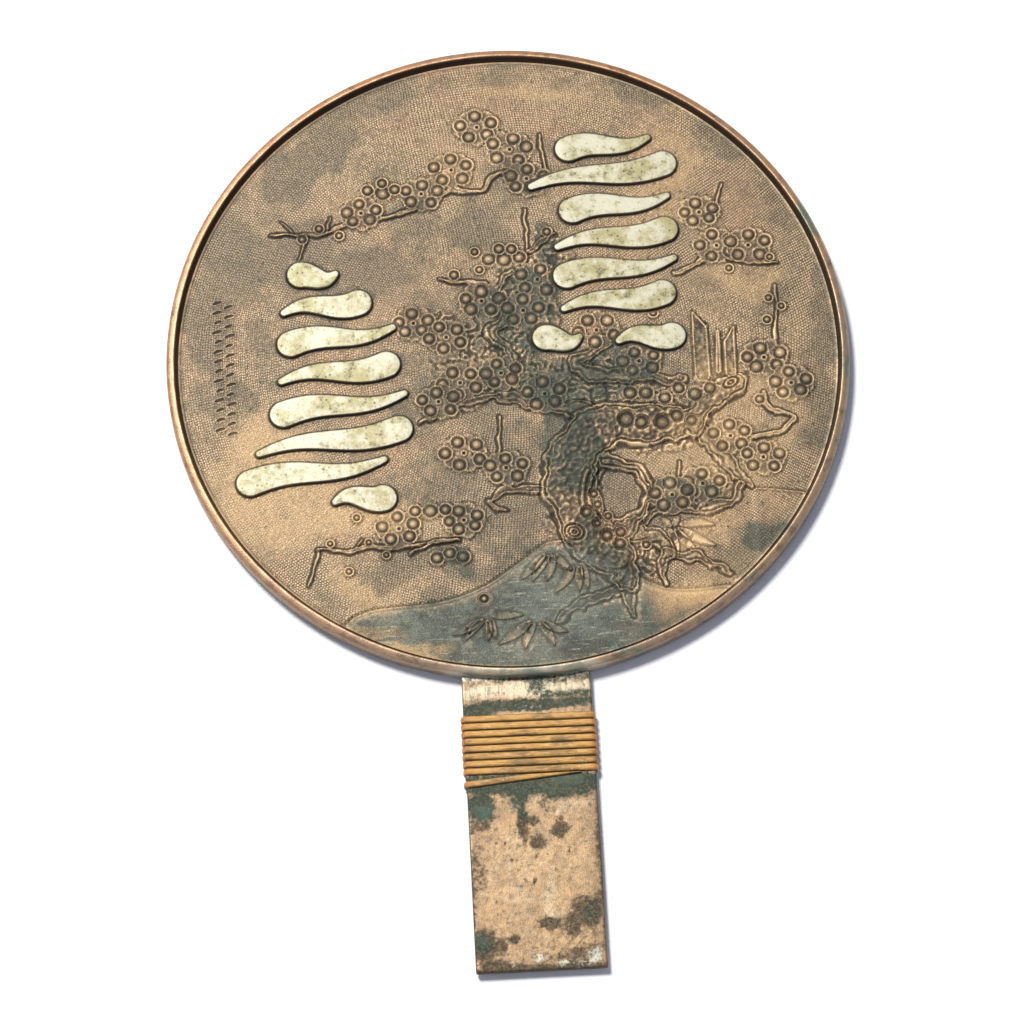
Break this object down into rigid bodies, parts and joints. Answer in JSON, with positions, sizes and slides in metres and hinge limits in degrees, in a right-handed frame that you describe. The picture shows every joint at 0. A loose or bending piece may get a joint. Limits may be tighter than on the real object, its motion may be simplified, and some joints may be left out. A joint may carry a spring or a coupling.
{
  "type": "bronze hand mirror",
  "caption": "Round cast bronze hand mirror with a flat handle, a raised rim round a plum tree relief on its back, and a split cane binding on the neck.",
  "frame": {"origin": "under the middle of the whole length, level with the lowest point of the domed polished face", "axes": "+Z out of the decorated back, +Y from the handle towards the disc, +X to the right seen from above with the handle towards the viewer"},
  "size_m": [0.212, 0.3034, 0.0062],
  "materials": {
    "bronze": "aged cast bronze, worn golden on the rim, dark green in the hollows",
    "cane": "split cane, golden brown with dark grime"
  },
  "bodies": {
    "root": {"bronze_mirror": "bronze", "cane_binding": "cane"}
  },
  "joints": []
}
